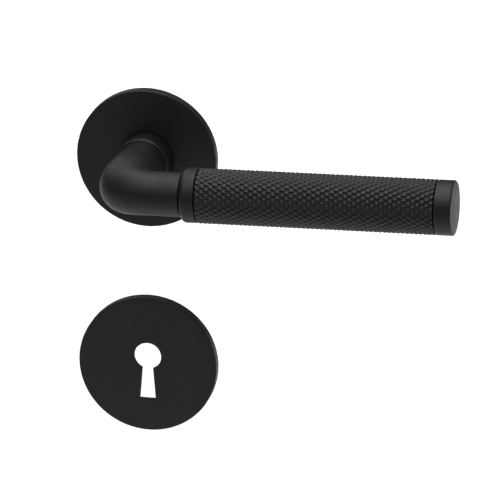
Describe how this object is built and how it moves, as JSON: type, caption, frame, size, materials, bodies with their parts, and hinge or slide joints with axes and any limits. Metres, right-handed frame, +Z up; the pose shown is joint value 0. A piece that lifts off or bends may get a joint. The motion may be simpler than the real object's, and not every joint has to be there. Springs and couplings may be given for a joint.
{
  "type": "lever door handle with key escutcheon",
  "caption": "Sprung door lever with a knurled round grip on a slim round rose, with a matching round key escutcheon below it.",
  "frame": {"origin": "the spindle's axis at the door's surface, at the centre of the rose's back and of its two screws", "axes": "+X along the lever, +Y into the door, +Z up"},
  "size_m": [0.1472, 0.099, 0.132],
  "materials": {
    "black_satin": "satin black powder coat",
    "black_knurl": "satin black coat over diamond knurling",
    "black_steel": "black oxide steel",
    "spring_steel": "oiled spring steel",
    "zinc_plate": "zinc plated steel",
    "bright_steel": "bright steel",
    "white_nylon": "natural nylon"
  },
  "bodies": {
    "door_side": {"rose_base": "zinc_plate", "rose_cover": "black_satin", "rose_clip_ring": "spring_steel", "rose_screws": "bright_steel", "neck_collar": "black_satin", "neck_bearing": "white_nylon", "spring_cup": "zinc_plate", "return_spring": "spring_steel", "key_base": "zinc_plate", "key_cover": "black_satin", "key_clip_ring": "spring_steel", "key_screws": "bright_steel"},
    "lever": {"lever_neck": "black_satin", "grub_screw": "black_steel", "spindle": "bright_steel", "drive_hub": "zinc_plate", "thrust_washer": "white_nylon", "retaining_ring": "spring_steel", "grip_core": "black_steel", "grip_collar": "black_satin", "knurled_grip": "black_knurl", "grip_end_cap": "black_satin"}
  },
  "joints": [
    {"name": "lever_turn", "type": "hinge", "parent": "door_side", "child": "lever", "pos_m": [0, 0, 0], "axis": [0, 1, 0], "range_deg": [0, 45], "stiffness_Nm_per_rad": 0.6, "springref_deg": -51.57, "deforming": ["return_spring"]}
  ]
}
